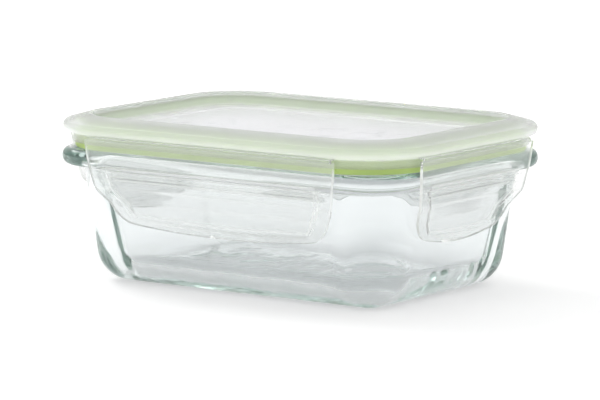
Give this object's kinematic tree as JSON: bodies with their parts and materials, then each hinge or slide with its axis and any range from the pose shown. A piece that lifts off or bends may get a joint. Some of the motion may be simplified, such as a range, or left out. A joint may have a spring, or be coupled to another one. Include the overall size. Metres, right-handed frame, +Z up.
{
  "type": "glass food storage box",
  "caption": "Rectangular clear glass food box with a translucent snap lid, a green silicone seal and locking flaps on living hinges.",
  "frame": {"origin": "on the table under the middle of the box", "axes": "+X along the long side, +Y from the front to the rear side, +Z up out of the box"},
  "size_m": [0.205, 0.15, 0.08],
  "materials": {
    "clear_glass": "fire-polished pressed soda-lime glass, faint blue-green tint in thick sections",
    "milky_polypropylene": "translucent milky polypropylene, satin",
    "green_silicone": "soft moulded silicone, light yellow-green"
  },
  "bodies": {
    "tub": {"glass_tub": "clear_glass"},
    "lid": {"lid_panel": "milky_polypropylene", "seal_ring": "green_silicone", "front_living_hinge": "milky_polypropylene", "rear_living_hinge": "milky_polypropylene", "left_living_hinge": "milky_polypropylene", "right_living_hinge": "milky_polypropylene"},
    "front_flap_body": {"front_flap": "milky_polypropylene"},
    "rear_flap_body": {"rear_flap": "milky_polypropylene"},
    "left_flap_body": {"left_flap": "milky_polypropylene"},
    "right_flap_body": {"right_flap": "milky_polypropylene"}
  },
  "joints": [
    {"name": "lid_lift", "type": "slide", "parent": "tub", "child": "lid", "axis": [0, 0, 1], "range_m": [0, 0.255]},
    {"name": "front_flap_hinge", "type": "hinge", "parent": "lid", "child": "front_flap_body", "pos_m": [0, -0.073, 0.0713], "axis": [-1, 0, 0], "range_deg": [0, 105]},
    {"name": "rear_flap_hinge", "type": "hinge", "parent": "lid", "child": "rear_flap_body", "pos_m": [0, 0.073, 0.0713], "axis": [1, 0, 0], "range_deg": [0, 105]},
    {"name": "left_flap_hinge", "type": "hinge", "parent": "lid", "child": "left_flap_body", "pos_m": [-0.1005, 0, 0.0713], "axis": [0, 1, 0], "range_deg": [0, 105]},
    {"name": "right_flap_hinge", "type": "hinge", "parent": "lid", "child": "right_flap_body", "pos_m": [0.1005, 0, 0.0713], "axis": [0, -1, 0], "range_deg": [0, 105]}
  ]
}
